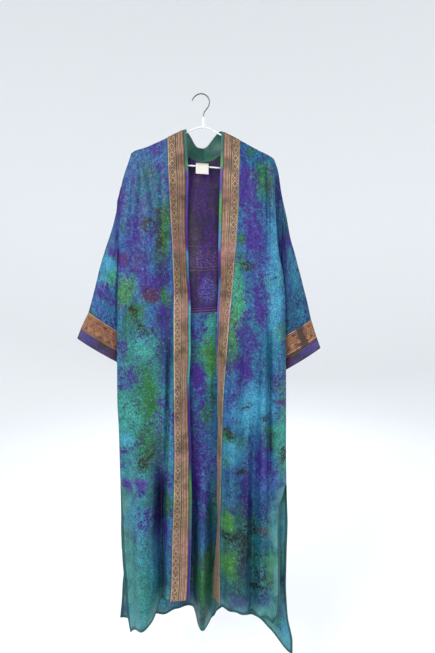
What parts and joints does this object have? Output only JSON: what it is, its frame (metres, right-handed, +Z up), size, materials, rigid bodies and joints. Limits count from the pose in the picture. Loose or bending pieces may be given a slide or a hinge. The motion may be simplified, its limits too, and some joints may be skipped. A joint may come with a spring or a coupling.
{
  "type": "kimono robe on a hanger",
  "caption": "Long open-front kimono robe of mottled overdyed silk with brocade front bands, wide sleeves with brocade cuffs and side slits, hanging on a slim hanger.",
  "frame": {"origin": "seat of the hanger's hook, where the rail or nail carries it", "axes": "+Z up, +X to the right as seen from the front, front towards -Y"},
  "size_m": [0.7112, 0.1281, 1.6555],
  "materials": {
    "silk": "mottled overdyed silk, soft sheen, slightly sheer",
    "dark_silk": "dark purple silk with woven bands, soft sheen",
    "green_silk": "green-teal silk, soft sheen",
    "brocade": "woven brocade of lozenges and stripes, dull metallic thread",
    "cuff_brocade": "woven floral brocade, dull copper-gold thread",
    "hem_silk": "dark blue and violet-brown silk, soft sheen",
    "label_cloth": "plain woven label, matt",
    "hanger_plastic": "white, satin",
    "hook_steel": "grey steel wire"
  },
  "bodies": {
    "root": {"front_panel_left": "silk", "front_panel_right": "silk", "neckband_left": "green_silk", "neckband_right": "green_silk", "border_left": "brocade", "border_right": "brocade", "back_yoke": "dark_silk", "back_skirt": "silk", "sleeve_left": "silk", "sleeve_right": "silk", "cuff_border_left": "cuff_brocade", "cuff_border_right": "cuff_brocade", "cuff_hem_left": "hem_silk", "cuff_hem_right": "hem_silk", "label": "label_cloth", "hanger_frame": "hanger_plastic", "hanger_hook": "hook_steel"}
  },
  "joints": []
}
